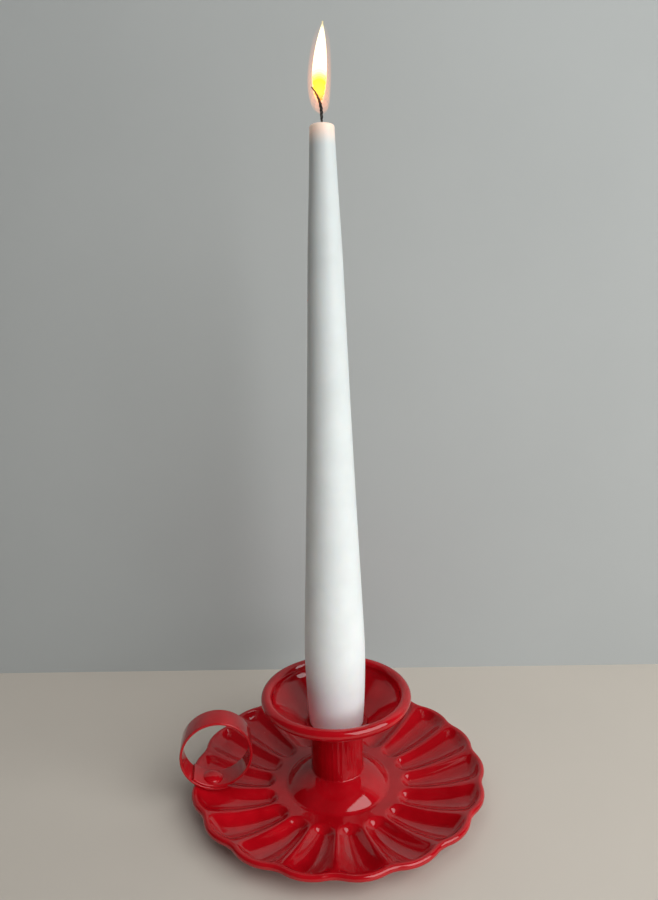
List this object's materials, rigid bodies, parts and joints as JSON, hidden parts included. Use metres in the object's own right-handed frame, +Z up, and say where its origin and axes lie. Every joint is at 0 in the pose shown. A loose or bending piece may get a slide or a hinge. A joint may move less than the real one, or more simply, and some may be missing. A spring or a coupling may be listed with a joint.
{
  "type": "chamberstick with finger loop",
  "caption": "Fluted saucer candlestick in glossy red metal with a scalloped rim, a drip bowl round its candle socket, a riveted finger loop and a white tapered candle that lifts out.",
  "frame": {"origin": "on the candle's axis, at the level of the table that the dish stands on", "axes": "+Z up along the candle, -X towards the finger loop"},
  "size_m": [0.1398, 0.1366, 0.3081],
  "materials": {
    "red_enamel": "high gloss",
    "plain_steel": "plain",
    "white_wax": "satin",
    "burnt_cotton": "charred"
  },
  "bodies": {
    "holder": {"dish": "red_enamel", "candle_socket": "red_enamel", "drip_bowl": "red_enamel", "finger_loop": "red_enamel", "loop_rivet": "red_enamel", "socket_rivet": "plain_steel", "socket_rivet_washer": "plain_steel", "loop_rivet_washer": "plain_steel"},
    "candle": {"candle": "white_wax", "wick": "burnt_cotton"}
  },
  "joints": [
    {"name": "candle_lift", "type": "slide", "parent": "holder", "child": "candle", "axis": [0, 0, 1], "range_m": [0, 0.06]}
  ]
}
